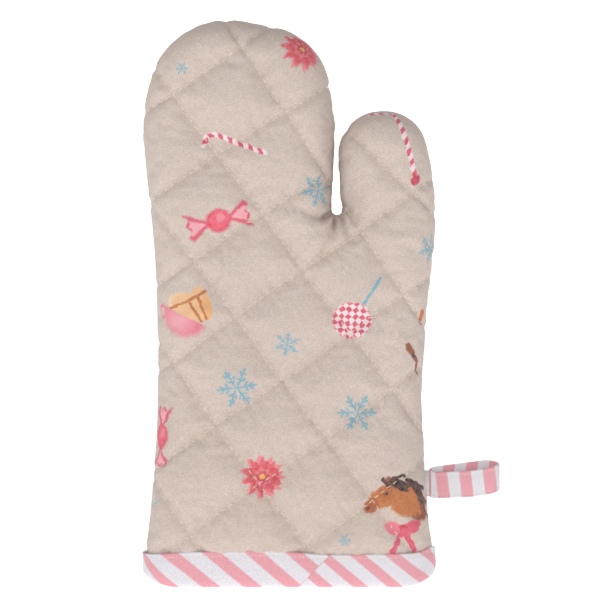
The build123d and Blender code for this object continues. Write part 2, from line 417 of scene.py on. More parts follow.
def applied(obj):
    """The object with its modifiers applied as a plain mesh."""
    graph = bpy.context.evaluated_depsgraph_get()
    mesh = bpy.data.meshes.new_from_object(obj.evaluated_get(graph))
    obj.modifiers.clear()
    old, obj.data = obj.data, mesh
    mesh.name = obj.name
    bpy.data.meshes.remove(old)
    return obj


def puffed(start, faces, held):
    """Cloth simulation: the panel swells between its seams and rows of quilting."""
    grow = 10.0  # the solver keeps steadier on a larger cloth
    cap = 4.0    # no point swells further than this
    scene = bpy.context.scene
    obj = make_object("swelling", start * grow, faces)
    obj.vertex_groups.new(name="held").add([int(i) for i in np.flatnonzero(held)], 1.0, "REPLACE")
    cloth = obj.modifiers.new("cloth", "CLOTH")
    values = cloth.settings
    values.quality = 6
    values.mass = 0.25
    values.tension_stiffness = values.compression_stiffness = 25
    values.shear_stiffness = 10
    values.bending_stiffness = 2.0
    values.tension_damping = values.compression_damping = values.shear_damping = 20
    values.bending_damping = 5
    values.air_damping = 6
    values.vertex_group_mass = "held"
    values.shrink_min = values.shrink_max = -scene.mitt_quilting.slack
    values.use_pressure = True
    values.uniform_pressure_force = 9.0
    values.effector_weights.gravity = 0
    cloth.collision_settings.use_collision = False
    cloth.point_cache.frame_start, cloth.point_cache.frame_end = 1, FRAMES
    scene.frame_start, scene.frame_end = 1, FRAMES
    for number in range(1, FRAMES + 1):
        scene.frame_set(number)
    graph = bpy.context.evaluated_depsgraph_get()
    moved = points_of(obj.evaluated_get(graph).data) / grow - start
    scene.frame_set(1)
    bpy.data.objects.remove(obj)
    length = np.linalg.norm(moved, axis=1)
    return start + moved * np.minimum(1, cap / np.maximum(length, 1e-6))[:, None]


def crotch_folds(flat):
    """How far the cloth is drawn in along the folds that fan out below the crotch."""
    depth = np.zeros(len(flat))
    folds = [
        ([(-3.5, -0.2), (-8, -2.4), (-13, -1.2), (-19, 2.2), (-28, 6)], 3.4, 1.15),
        ([(-1.2, -3), (-2, -9), (-5.5, -18), (-11, -28)], 3.2, 1.1),
        ([(2.6, -2), (3.8, -7), (8, -13)], 2.6, 1.0),
    ]
    for path, deep, wide in folds:
        path = np.array(path) + crotch()
        far, pick, share = nearest(flat, path[:-1], path[1:])
        run = (pick + share) / (len(path) - 1)
        reach = wide * (1 + 1.8 * run)
        ridge = 0.4 * np.exp(-((far - 2.8 * reach) / (1.4 * reach)) ** 2)  # cloth heaped beside it
        depth += (np.exp(-(far / reach) ** 2) - ridge) * deep * (1 - run) ** 0.8
    return depth * smooth(0.2, 4.0, surface(flat)[1])


def stitch_dimples(flat):
    """Dips where the thread pulls the cloth down, and the small puckers beside each stitch."""
    pitch = prop("mitt_quilting", "stitch_pitch")
    a, b, start = row_segments(2.0)
    far, pick, share = nearest(flat, a, b)
    run = start[pick] + 2.0 * share
    wave = 0.5 + 0.5 * np.cos(math.pi * run / pitch + 0.6 * np.sin(run / 7))
    return 0.45 * np.exp(-(far / 1.5) ** 2) + 0.5 * wave * np.exp(-(far / 3.2) ** 2)


def vertex_normals(spots, faces):
    a, b, c = (spots[faces[:, k]] for k in range(3))
    edges = (b - a, c - a) if faces.shape[1] == 3 else (c - a, spots[faces[:, 3]] - b)
    normal = np.cross(*edges)
    total = np.zeros_like(spots)
    for k in range(faces.shape[1]):
        np.add.at(total, faces[:, k], normal)
    return total / np.maximum(np.linalg.norm(total, axis=1), 1e-12)[:, None]


@lru_cache(maxsize=None)
def panel_cloth():
    """The quilted back panel: points, quads, cloth places, normals and places on the plane."""
    flat, faces, rows = flat_mesh()
    base, inset, out, spare = surface(flat)
    a, b, _ = row_segments(2.0)
    far = nearest(flat, a, b)[0]
    rise = prop("mitt_quilting", "puff") * (1 - np.exp(-far / 3.6)) * smooth(0, 9, inset)
    rise *= smooth(cuff_row() - 1, cuff_row() + 9, flat[:, 1])
    tucked = 0.9 * (1 - smooth(cuff_row() + 1, cuff_row() + 6, flat[:, 1]))
    start = base + vertex_normals(base, faces) * (rise - tucked)[:, None]
    held = (inset < 0.05) | (flat[:, 1] < cuff_row() + 0.5)
    held[rows] = True
    start = puffed(start, faces, held)
    obj = make_object("panel", start, faces)
    for name, values in (("place", flat + out * spare[:, None]), ("plane", flat)):
        obj.data.attributes.new(name, "FLOAT2", "POINT").data.foreach_set("vector", values.ravel())
    sub = obj.modifiers.new("sub", "SUBSURF")
    sub.levels = sub.render_levels = 1
    sub.boundary_smooth = "PRESERVE_CORNERS"
    applied(obj)
    spots = points_of(obj.data)
    read = {}
    for name in ("place", "plane"):
        values = np.empty(len(spots) * 2)
        obj.data.attributes[name].data.foreach_get("vector", values)
        read[name] = values.reshape(-1, 2)
    quads = np.array([p.vertices[:] for p in obj.data.polygons])
    bpy.data.objects.remove(obj)
    flat = read["plane"]
    spots -= vertex_normals(spots, quads) * (crotch_folds(flat) + stitch_dimples(flat))[:, None]
    spots[:, 2] += rim_lift(spots[:, 0], flat[:, 1])
    return spots, quads, read["place"], vertex_normals(spots, quads), flat


def thick_piece(name, quads, front, materials):
    """Closed padded piece: outer cloth, lining a thickness further in, and the edges between."""
    spots, _, place, normal, _ = panel_cloth()
    used = np.unique(quads)
    renumber = np.full(len(spots), -1)
    renumber[used] = np.arange(len(used))
    quads, outer, normal, place = renumber[quads], spots[used], normal[used], place[used]
    if front:
        outer, normal, quads = outer * (1, -1, 1), normal * (1, -1, 1), quads[:, ::-1]
    else:  # the same print, cut from another part of the cloth
        place = place * (-1, 1) + (62, 118)
    inner = outer - normal * prop("mitt_shape", "thickness")
    count = len(outer)
    pairs = {(int(a), int(b)) for quad in quads for a, b in zip(quad, np.roll(quad, -1))}
    walls = [(b, a, a + count, b + count) for a, b in sorted(pairs) if (b, a) not in pairs]
    faces = np.vstack((quads, quads[:, ::-1] + count, walls))
    both = np.vstack((place, place))
    obj = make_object(name, np.vstack((outer, inner)), faces, materials, both[faces.ravel()])
    slots = np.zeros(len(faces), int)
    slots[len(quads):2 * len(quads)] = 1
    obj.data.polygons.foreach_set("material_index", slots)
    obj.data.normals_split_custom_set_from_vertices(np.vstack((normal, -normal)).tolist())
    return obj


# ---------------------------------------------------------------- sweeps, stitches and bends

def swept(name, stations, profile, materials, runs, sides, ring=False):
    """A closed section carried along a path.

    stations are (origin, first axis, second axis), profile is (along first, along second), and runs
    and sides are the cloth places along the path and round the section.
    """
    count, wide = len(stations), len(profile[0])
    verts = np.vstack([origin + section @ np.array((a, b))
                       for (origin, a, b), section in zip(stations, profile)])
    faces, places = [], []
    for i in range(count if ring else count - 1):
        for j in range(wide):
            k, n = (j + 1) % wide, (i + 1) % count
            faces.append((i * wide + j, i * wide + k, n * wide + k, n * wide + j))
            side = sides[j + 1] if j + 1 < len(sides) else sides[-1]
            places += [(runs[i], sides[j]), (runs[i], side), (runs[i + 1], side),
                       (runs[i + 1], sides[j])]
    if not ring:
        for i, ids in ((0, range(wide)), (count - 1, reversed(range(wide)))):
            ids = list(ids)[::-1]
            faces.append(tuple(i * wide + j for j in ids))
            places += [(runs[i], sides[j]) for j in ids]
    volume = 0.0
    for face in faces:
        a, b, c = verts[face[0]], verts[face[1]], verts[face[2]]
        volume += a @ np.cross(b, c)
        if len(face) == 4:
            volume += a @ np.cross(c, verts[face[3]])
    if volume < 0:
        flipped, at = [], 0
        for number, face in enumerate(faces):
            flipped += places[at:at + len(face)][::-1]
            at += len(face)
            faces[number] = face[::-1]
        places = flipped
    return make_object(name, verts, faces, materials, places)


def bend(obj, part):
    """Bake a piece's placement into its mesh; the piece is not curled over the bend."""
    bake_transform(obj)


def on_thumb(points):
    return (points[:, 1] > SPLIT_Z) & (points[:, 0] > crotch()[0])


@lru_cache(maxsize=None)
def stitch_tree():
    """Geometry nodes: a stitch of thread on every point, turned as the point says."""
    tree = bpy.data.node_groups.new("thread stitches", "GeometryNodeTree")
    tree.interface.new_socket("Points", in_out="INPUT", socket_type="NodeSocketGeometry")
    for name in ("Length", "Width"):
        tree.interface.new_socket(name, in_out="INPUT", socket_type="NodeSocketFloat")
    tree.interface.new_socket("Thread", in_out="INPUT", socket_type="NodeSocketMaterial")
    tree.interface.new_socket("Stitches", in_out="OUTPUT", socket_type="NodeSocketGeometry")
    given = add_node(tree, "NodeGroupInput")
    body = add_node(tree, "GeometryNodeMeshUVSphere", {"Segments": 8, "Rings": 5, "Radius": 0.5})
    turn = add_node(tree, "GeometryNodeInputNamedAttribute", {"Name": "turn"},
                    data_type="FLOAT_VECTOR")
    scale = add_node(tree, "ShaderNodeCombineXYZ",
                     {"X": given.outputs["Length"], "Y": given.outputs["Width"],
                      "Z": given.outputs["Width"]})
    put = add_node(tree, "GeometryNodeInstanceOnPoints",
                   {"Points": given.outputs["Points"], "Instance": body, "Rotation": turn,
                    "Scale": scale})
    real = add_node(tree, "GeometryNodeRealizeInstances", {"Geometry": put})
    soft = add_node(tree, "GeometryNodeSetShadeSmooth", {"Geometry": real})
    inked = add_node(tree, "GeometryNodeSetMaterial",
                     {"Geometry": soft, "Material": given.outputs["Thread"]})
    add_node(tree, "NodeGroupOutput", {"Stitches": inked})
    return tree


def stitched(name, centres, along, normals, length, width, material):
    """One piece of stitches: centres, directions and cloth normals in millimetres."""
    obj = make_object(name, centres, [])
    turns = []
    for run, up in zip(along, normals):
        x = Vector(run).normalized()
        z = (Vector(up) - x * Vector(up).dot(x)).normalized()
        y = z.cross(x)
        rows = ((x.x, y.x, z.x), (x.y, y.y, z.y), (x.z, y.z, z.z))
        turns += [*Matrix(rows).to_euler()]
    obj.data.attributes.new("turn", "FLOAT_VECTOR", "POINT").data.foreach_set("vector", turns)
    modifier = obj.modifiers.new("stitches", "NODES")
    modifier.node_group = stitch_tree()
    values = {"Length": length * MM, "Width": width * MM, "Thread": material}
    for item in modifier.node_group.interface.items_tree:
        if item.name in values:
            modifier[item.identifier] = values[item.name]
    return applied(obj)


def along_path(points, pitch):
    """Centres and directions at a pitch along a path of 2-D or 3-D points."""
    steps, length = np.diff(points, axis=0), run_lengths(points)
    at = np.arange(pitch / 2, length[-1], pitch)
    pick = np.clip(np.searchsorted(length, at) - 1, 0, len(steps) - 1)
    return spots_at(at, length, points), steps[pick]


# ---------------------------------------------------------------- materials

MATH, VECTOR_MATH, MAP_RANGE = "ShaderNodeMath", "ShaderNodeVectorMath", "ShaderNodeMapRange"
MIX, NOISE, SEPARATE = "ShaderNodeMix", "ShaderNodeTexNoise", "ShaderNodeSeparateXYZ"


def add_node(tree, kind, inputs=(), **options):
    """Adds a node, sets its options, and fills or links its inputs, named or in order."""
    node = tree.nodes.new(kind)
    for name, value in options.items():
        setattr(node, name, value)
    for key, value in inputs.items() if isinstance(inputs, dict) else enumerate(inputs):
        if isinstance(value, bpy.types.Node):
            value = value.outputs[0]
        if isinstance(value, bpy.types.NodeSocket):
            tree.links.new(value, node.inputs[key])
        else:
            node.inputs[key].default_value = value
    return node


def new_material(name, roughness=0.85, sheen=0.15):
    """Cloth or thread: rough, with the faint sheen of loose cotton fibres."""
    material = bpy.data.materials.new(name)
    material.use_nodes = True
    tree = material.node_tree
    shader = tree.nodes["Principled BSDF"]
    shader.inputs["Roughness"].default_value = roughness
    shader.inputs["IOR"].default_value = 1.5
    shader.inputs["Sheen Weight"].default_value = sheen
    shader.inputs["Sheen Roughness"].default_value = 0.5
    return material, tree, shader


def weave(tree, place, pitch):
    """Plain weave with uneven yarns, as heights from 0 to 1; place is in millimetres."""
    drift = add_node(tree, NOISE, {"Vector": place, "Scale": 0.35, "Detail": 2.0})
    moved = add_node(tree, VECTOR_MATH, {0: drift.outputs["Color"], 1: place}, operation="ADD")
    turned = add_node(tree, VECTOR_MATH, {0: moved, "Scale": 2 * math.pi / pitch},
                      operation="SCALE")
    apart = add_node(tree, SEPARATE, {0: turned})
    waves = [add_node(tree, MATH, {0: apart.outputs[k]}, operation="SINE") for k in ("X", "Y")]
    yarns = add_node(tree, MATH, {0: waves[0], 1: waves[1]}, operation="MULTIPLY")
    slubs = []
    for stretch in ((1, 0.3, 1), (0.3, 1, 1)):  # slubs run along the yarns, both ways
        line = add_node(tree, "ShaderNodeMapping", {"Vector": place, "Scale": stretch})
        slubs.append(add_node(tree, NOISE, {"Vector": line, "Scale": 1.9 / pitch, "Detail": 1.0}))
    both = add_node(tree, MATH, {0: slubs[0], 1: slubs[1]}, operation="ADD")
    height = add_node(tree, MATH, {0: yarns, 1: 0.55, 2: both}, operation="MULTIPLY_ADD")
    return add_node(tree, MAP_RANGE, {"Value": height, "From Min": 0.55, "From Max": 1.45})


def cloth_place(tree):
    """The cloth's own place in millimetres, from the piece's UV map."""
    uv = add_node(tree, "ShaderNodeUVMap", uv_map="cloth")
    return add_node(tree, VECTOR_MATH, {0: uv, "Scale": 1000.0}, operation="SCALE")


def ink(tree, under, mask, code):
    """One ink over what is already printed."""
    return add_node(tree, MIX, {0: mask, 6: under, 7: (*linear(code), 1)},
                    data_type="RGBA").outputs[2]


def after(tree, place, shown):
    """The same place, known only once a motif is drawn: the renderer holds few values at a time."""
    return add_node(tree, VECTOR_MATH, {0: shown, 1: (1e-6, 1e-6, 1e-6), 2: place},
                    operation="MULTIPLY_ADD")


def local_place(tree, place, x, z, wide, high, degrees=0):
    """Place measured from a motif's centre, in its own half widths."""
    return add_node(tree, "ShaderNodeMapping",
                    {"Vector": place, "Location": (x, z, 0),
                     "Rotation": (0, 0, math.radians(degrees)), "Scale": (wide, high, 1)},
                    vector_type="TEXTURE")


def blob(tree, place, x, z, wide, high, degrees=0, soft=0.14):
    """Mask of an oval brush mark."""
    local = local_place(tree, place, x, z, wide, high, degrees)
    away = add_node(tree, VECTOR_MATH, {0: local}, operation="LENGTH").outputs["Value"]
    return add_node(tree, MAP_RANGE, {"Value": away, "From Min": 1 + soft, "From Max": 1 - soft})


def below(tree, value, limit, soft):
    """Mask of where a value is below a limit."""
    return add_node(tree, MAP_RANGE, {"Value": value, "From Min": limit + soft,
                                      "From Max": limit - soft})


def stroke(tree, place, start, end, half):
    """Mask of a straight brush stroke with round ends, and its place along and across."""
    (x0, z0), (x1, z1) = start, end
    angle = math.degrees(math.atan2(z1 - z0, x1 - x0))
    local = local_place(tree, place, (x0 + x1) / 2, (z0 + z1) / 2, half, half, angle)
    apart = add_node(tree, SEPARATE, {0: local})
    along = add_node(tree, MATH, (apart.outputs["X"],), operation="ABSOLUTE")
    beyond = add_node(tree, MATH, (along, math.hypot(x1 - x0, z1 - z0) / 2 / half),
                      operation="SUBTRACT")
    past_end = add_node(tree, MATH, (beyond, 0.0), operation="MAXIMUM")
    corner = add_node(tree, "ShaderNodeCombineXYZ", {"X": past_end, "Y": apart.outputs["Y"]})
    away = add_node(tree, VECTOR_MATH, {0: corner}, operation="LENGTH").outputs["Value"]
    return below(tree, away, 1.0, 0.2), apart


def fan(tree, place, x, z, length, spread_by, degrees):
    """Mask of a flared wrapper end, opening along its own first axis."""
    apart = add_node(tree, SEPARATE, {0: local_place(tree, place, x, z, length, length, degrees)})
    side = add_node(tree, MATH, (apart.outputs["Y"],), operation="ABSOLUTE")
    edge = add_node(tree, MATH, (apart.outputs["X"], -spread_by, side), operation="MULTIPLY_ADD")
    turn = add_node(tree, MATH, (apart.outputs["Y"], 12.0), operation="MULTIPLY")
    ripple = add_node(tree, MATH, (turn,), operation="SINE")
    wavy = add_node(tree, MATH, (ripple, 0.08, apart.outputs["X"]), operation="MULTIPLY_ADD")
    between, short = below(tree, edge, 0.08, 0.06), below(tree, wavy, 0.95, 0.05)
    return add_node(tree, MATH, (between, short), operation="MULTIPLY")


@lru_cache(maxsize=None)
def star_group(points, valley, twigs):
    """Node group: mask of a pointed flower, or of a snowflake when it has twigs."""
    tree = bpy.data.node_groups.new("snowflake" if twigs else f"flower of {points}",
                                    "ShaderNodeTree")
    tree.interface.new_socket("Place", in_out="INPUT", socket_type="NodeSocketVector")
    tree.interface.new_socket("Mask", in_out="OUTPUT", socket_type="NodeSocketFloat")
    place = add_node(tree, "NodeGroupInput").outputs["Place"]
    apart = add_node(tree, SEPARATE, {0: place})
    away = add_node(tree, VECTOR_MATH, {0: place}, operation="LENGTH").outputs["Value"]
    angle = add_node(tree, MATH, (apart.outputs["Y"], apart.outputs["X"]), operation="ARCTAN2")
    folded = add_node(tree, MATH, (angle, math.pi / points), operation="PINGPONG")
    if not twigs:
        share = add_node(tree, MATH, (folded, math.pi / points), operation="DIVIDE")
        curved = add_node(tree, MATH, (share, 0.75), operation="POWER")
        edge = add_node(tree, MATH, (curved, 1 - valley, away), operation="MULTIPLY_ADD")
        mask = below(tree, edge, 1.0, 0.05)
    else:
        cos, sin = (add_node(tree, MATH, (folded,), operation=name) for name in ("COSINE", "SINE"))
        run, off = (add_node(tree, MATH, (away, part), operation="MULTIPLY") for part in (cos, sin))
        narrow, short = below(tree, off, 0.055, 0.025), below(tree, run, 1.0, 0.04)
        mask = add_node(tree, MATH, (narrow, short), operation="MULTIPLY")
        for start, reach in ((0.36, 0.24), (0.66, 0.19)):
            further = add_node(tree, MATH, (run, start), operation="SUBTRACT")
            lean = add_node(tree, MATH, (further, 0.82), operation="MULTIPLY")
            aside = add_node(tree, MATH, (off, -0.57, lean), operation="MULTIPLY_ADD")
            gap = add_node(tree, MATH, (aside,), operation="ABSOLUTE")
            narrow, short = below(tree, gap, 0.05, 0.02), below(tree, off, reach, 0.03)
            twig = add_node(tree, MATH, (narrow, short), operation="MULTIPLY")
            mask = add_node(tree, MATH, (mask, twig), operation="MAXIMUM")
    add_node(tree, "NodeGroupOutput", {"Mask": mask})
    return tree


def star(tree, place, x, z, radius, degrees, points=6, valley=0.3, twigs=True):
    group = add_node(tree, "ShaderNodeGroup", node_tree=star_group(points, valley, twigs))
    tree.links.new(local_place(tree, place, x, z, radius, radius, degrees).outputs[0],
                   group.inputs["Place"])
    return group


def striped(tree, along, period, share=0.5):
    """Mask of stripes: along is in the stripes' own units."""
    turn = add_node(tree, MATH, (along, period), operation="DIVIDE")
    folded = add_node(tree, MATH, (turn, 0.5), operation="PINGPONG")
    return below(tree, folded, share / 2, 0.03)


PINK, ROSE, DEEP, PALE = "#EA7D91", "#DC5673", "#C73A5A", "#F6E3E6"
TEAL = "#7DB2C3"
CREAM, CARAMEL, BROWN, DARK = "#EDBE8E", "#C4733A", "#94502C", "#48292A"


def printed(tree, place, ground):
    """The print: flowers, snowflakes, sweets, a cup, twigs and a pony's head, in soft inks."""
    wobble = add_node(tree, NOISE, {"Vector": place, "Scale": 0.45, "Detail": 2.0})
    shake = add_node(tree, VECTOR_MATH, {0: wobble.outputs["Color"], 1: (-0.5, -0.5, -0.5)},
                     operation="ADD")
    shake = add_node(tree, VECTOR_MATH, {0: shake, "Scale": 2.0}, operation="SCALE")
    place = add_node(tree, VECTOR_MATH, {0: place, 1: shake}, operation="ADD")
    shown = ground
    # wrapped sweets: flared paper ends, then the body with two stripes
    for x, z, lean, reach in ((-36.8, 193.1, 17, 1.0), (-69.5, 79, 84, 0.95)):
        place = after(tree, place, shown)
        cos, sin = math.cos(math.radians(lean)), math.sin(math.radians(lean))
        for way in (1, -1):
            root = (x + way * 5.2 * cos * reach, z + way * 5.2 * sin * reach)
            wing = fan(tree, place, *root, 11.5 * reach, 0.62, lean + (0 if way > 0 else 180))
            pale = fan(tree, place, root[0] + way * 2.6 * cos, root[1] + way * 2.6 * sin,
                       7.6 * reach, 0.5, lean + (0 if way > 0 else 180))
            shown = ink(tree, ink(tree, shown, wing, ROSE), pale, "#F2A9B4")
        for wide, up, code in ((6.8, 0, "#DE4863"), (5.2, 0.8, "#EC6078"), (2.4, 2.0, "#F28A9A")):
            oval = blob(tree, place, x + up * 0.5, z + up, wide * reach, wide * 0.9 * reach, lean)
            shown = ink(tree, shown, oval, code)
    # striped canes
    canes = (((-12.2, 228.6), (-38.6, 238.6)), ((-38.6, 238.6), (-43.6, 237.4)),
             ((-43.6, 237.4), (-44.6, 232.4)), ((42.0, 253.0), (56.2, 251.6)),
             ((56.2, 251.6), (66.0, 217.5)))
    for start, end in canes:
        place = after(tree, place, shown)
        body, apart = stroke(tree, place, start, end, 1.35)
        lean = add_node(tree, MATH, (apart.outputs["Y"], 0.7, apart.outputs["X"]),
                        operation="MULTIPLY_ADD")
        bands = add_node(tree, MATH, (striped(tree, lean, 4.2), body), operation="MULTIPLY")
        shown = ink(tree, ink(tree, shown, body, PALE), bands, ROSE)
    shown = ink(tree, shown, blob(tree, place, 66.6, 214.6, 2.6, 2.8), DEEP)
    # lollipop on its stick
    place = after(tree, place, shown)
    stick, _ = stroke(tree, place, (39.5, 149.5), (48.2, 162.6), 0.75)
    shown = ink(tree, shown, stick, TEAL)
    disc = blob(tree, place, 33.3, 140.7, 10.4, 9.8, 0, 0.06)
    apart = add_node(tree, SEPARATE, {0: local_place(tree, place, 33.3, 140.7, 1, 1, 40)})
    across, up = (striped(tree, apart.outputs[k], 5.2) for k in ("X", "Y"))
    differ = add_node(tree, MATH, (across, up), operation="SUBTRACT")
    check = add_node(tree, MATH, (differ,), operation="ABSOLUTE")
    squares = add_node(tree, MATH, (check, disc), operation="MULTIPLY")
    shown = ink(tree, ink(tree, shown, disc, PALE), squares, ROSE)
    # cup with a whirl of cream
    place = after(tree, place, shown)
    for x, z, wide, high, lean, code in (
            (-57.4, 151.0, 5.4, 4.6, 10, "#F2D3B4"), (-51.0, 147.6, 10.4, 6.4, -26, CREAM),
            (-46.2, 150.6, 5.0, 8.2, 16, CREAM), (-43.2, 147.2, 3.0, 6.4, 10, "#E8AE74")):
        shown = ink(tree, shown, blob(tree, place, x, z, wide, high, lean), code)
    for start, end in (((-61.5, 147.4), (-53.0, 150.6)), ((-53.0, 150.6), (-44.0, 155.8)),
                       ((-51.5, 149.6), (-45.8, 140.2)), ((-47.4, 152.4), (-43.2, 141.4))):
        shown = ink(tree, shown, stroke(tree, place, start, end, 0.75)[0], CARAMEL)
    apart = add_node(tree, SEPARATE, {0: local_place(tree, place, -54.6, 143.0, 12.0, 10.6, -27)})
    whole = blob(tree, place, -54.6, 143.0, 12.0, 10.6, -27)
    lower = below(tree, apart.outputs["Y"], 0.0, 0.04)
    bowl = add_node(tree, MATH, (whole, lower), operation="MULTIPLY")
    handle = blob(tree, place, -67.0, 145.6, 3.4, 3.8, -14)
    hole = blob(tree, place, -67.0, 145.6, 2.0, 2.3, -14)
    ring = add_node(tree, MATH, (handle, hole), operation="SUBTRACT")
    shown = ink(tree, ink(tree, shown, ring, PINK), bowl, PINK)
    shade = blob(tree, place, -57.5, 140.0, 6.5, 5.5, -27, 0.5)
    half_bowl = add_node(tree, MATH, (bowl, 0.5), operation="MULTIPLY")
    paler = add_node(tree, MATH, (shade, half_bowl), operation="MULTIPLY")
    shown = ink(tree, shown, paler, "#F6C3CC")
    # bare twigs with cones
    place = after(tree, place, shown)
    for start, end, half, code in (((63.5, 125.0), (66.6, 120.4), 1.1, DARK),
                                   ((66.6, 120.4), (70.2, 112.6), 0.9, BROWN),
                                   ((72.6, 144.6), (73.2, 139.0), 1.5, CARAMEL),
                                   ((62.0, 127.4), (64.2, 124.2), 1.7, BROWN)):
        shown = ink(tree, shown, stroke(tree, place, start, end, half)[0], code)
    # a plain pony's head with its mane, and a bow below it
    place = after(tree, place, shown)
    for x, z, wide, high, lean, code in (
            (65.5, 47.5, 9.5, 7.6, -38, DARK), (70.5, 40.5, 6.0, 6.8, -60, BROWN),
            (60.5, 45.0, 9.4, 7.0, -42, CARAMEL), (50.2, 47.6, 9.0, 5.6, 28, CARAMEL),
            (43.4, 42.8, 4.4, 3.4, 38, "#B5622F"), (41.6, 41.6, 1.1, 0.8, 30, DARK),
            (52.6, 55.6, 1.7, 3.4, 14, BROWN), (58.2, 54.0, 6.4, 2.7, -30, DARK),
            (66.4, 45.4, 1.6, 8.2, 24, CARAMEL), (51.4, 49.4, 1.1, 0.9, 0, DARK),
            (64.5, 31.6, 5.6, 3.4, 24, ROSE), (55.6, 31.0, 5.4, 3.3, -24, PINK),
            (60.2, 31.2, 2.1, 2.2, 0, DEEP)):
        shown = ink(tree, shown, blob(tree, place, x, z, wide, high, lean, 0.12), code)
    place = after(tree, place, shown)
    for start, end in (((62.5, 56.4), (74.4, 51.5)), ((65.4, 53.6), (77.0, 44.6)),
                       ((69.0, 47.0), (78.0, 37.4)), ((54.4, 57.6), (61.0, 58.6)),
                       ((52.6, 53.0), (49.6, 57.0))):
        shown = ink(tree, shown, stroke(tree, place, start, end, 1.0)[0], DARK)
    for end in ((54.6, 18.6), (66.8, 19.2)):
        shown = ink(tree, shown, stroke(tree, place, (60.2, 30.0), end, 1.5)[0], ROSE)
    for x, z, radius, degrees in (
            (15.1, 209.2, 9.2, 12), (-27.2, 105.4, 11, 8), (-0.9, 128.4, 6.6, 20),
            (36, 92, 10.4, 0), (76, 178.7, 8.4, 15), (-55.5, 272.9, 3.4, 0),
            (-73, 44.4, 3.2, 10), (29.6, 25.1, 3.4, 5), (60, 300, 8, 0), (-86, 210, 8, 25)):
        place = after(tree, place, shown)
        shown = ink(tree, shown, star(tree, place, x, z, radius, degrees), TEAL)
    for x, z, turn in ((7.1, 283.5, 10), (-13.8, 58.3, 32)):
        place = after(tree, place, shown)
        for radius, points, code, more in ((13.0, 11, "#E98890", 0), (11.6, 10, "#E2606C", 20),
                                           (9.4, 9, "#D94C5E", 41), (6.4, 8, "#E67780", 66),
                                           (4.0, 7, "#CF405A", 80)):
            flower = star(tree, place, x, z, radius, turn + more, points, 0.62, False)
            shown = ink(tree, shown, flower, code)
        shown = ink(tree, shown, blob(tree, place, x, z, 1.7, 1.5), "#E8B85C")
    faded = add_node(tree, NOISE, {"Vector": place, "Scale": 0.5, "Detail": 4.0})
    thin = add_node(tree, MAP_RANGE, {"Value": faded, "From Min": 0.3, "From Max": 0.75,
                                      "To Min": 0.0, "To Max": 0.24})
    return add_node(tree, MIX, {0: thin, 6: shown, 7: ground}, data_type="RGBA").outputs[2]


def grained(tree, grain, tone):
    """A tone made a little darker and lighter by the weave."""
    low, high = (tuple(min(1.0, c * share) for c in tone) + (1,) for share in (0.8, 1.13))
    return add_node(tree, MIX, {0: grain, 6: low, 7: high}, data_type="RGBA").outputs[2]


def woven_bump(tree, shader, height, distance):
    bump = add_node(tree, "ShaderNodeBump",
                    {"Height": height, "Distance": distance * MM, "Strength": 0.7})
    tree.links.new(bump.outputs["Normal"], shader.inputs["Normal"])


@lru_cache(maxsize=None)
def canvas_material():
    """Plain-woven cotton canvas, printed: a fine uneven grain that shows through soft inks."""
    material, tree, shader = new_material("cotton canvas, woven and printed", 0.9, 0.05)
    place = cloth_place(tree)
    grain = weave(tree, place, 1.3)  # real yarns are 0.5 mm apart: drawn coarser so that they show
    # the print repeats, so a panel cut from another part of the cloth shows other motifs
    apart = add_node(tree, SEPARATE, {0: place})
    across = add_node(tree, MATH, (apart.outputs["X"], 95.0, -95.0), operation="WRAP")
    up = add_node(tree, MATH, (apart.outputs["Y"], 319.0, -6.0), operation="WRAP")
    repeat = add_node(tree, "ShaderNodeCombineXYZ", {"X": across, "Y": up})
    ground = grained(tree, grain, bpy.context.scene.mitt_colours.canvas)
    shade = add_node(tree, NOISE, {"Vector": place, "Scale": 0.02, "Detail": 2.0})
    worn = add_node(tree, MAP_RANGE, {"Value": shade, "From Min": 0.3, "From Max": 0.7,
                                      "To Min": 0.96, "To Max": 1.03})
    inked = printed(tree, repeat, ground)
    tone = add_node(tree, VECTOR_MATH, {0: inked, "Scale": worn}, operation="SCALE")
    tree.links.new(tone.outputs[0], shader.inputs["Base Color"])
    woven_bump(tree, shader, grain, 0.16)
    return material


@lru_cache(maxsize=None)
def lining_material():
    """Plain cotton sheeting: paler and finer than the canvas."""
    material, tree, shader = new_material("cotton sheeting, woven", 0.9, 0.1)
    grain = weave(tree, cloth_place(tree), 0.9)
    tone = grained(tree, grain, bpy.context.scene.mitt_colours.lining)
    tree.links.new(tone, shader.inputs["Base Color"])
    woven_bump(tree, shader, grain, 0.1)
    return material


@lru_cache(maxsize=None)
def thread_material(name, source):
    """Spun cotton thread: matt, with fibres that catch the light unevenly."""
    material, tree, shader = new_material(name, 0.75, 0.3)
    where = add_node(tree, "ShaderNodeTexCoord").outputs["Object"]
    ply = add_node(tree, NOISE, {"Vector": where, "Scale": 1800.0, "Detail": 1.0})
    tone = grained(tree, ply.outputs[0], getattr(bpy.context.scene.mitt_colours, source))
    tree.links.new(tone, shader.inputs["Base Color"])
    woven_bump(tree, shader, ply.outputs[0], 0.1)
    return material


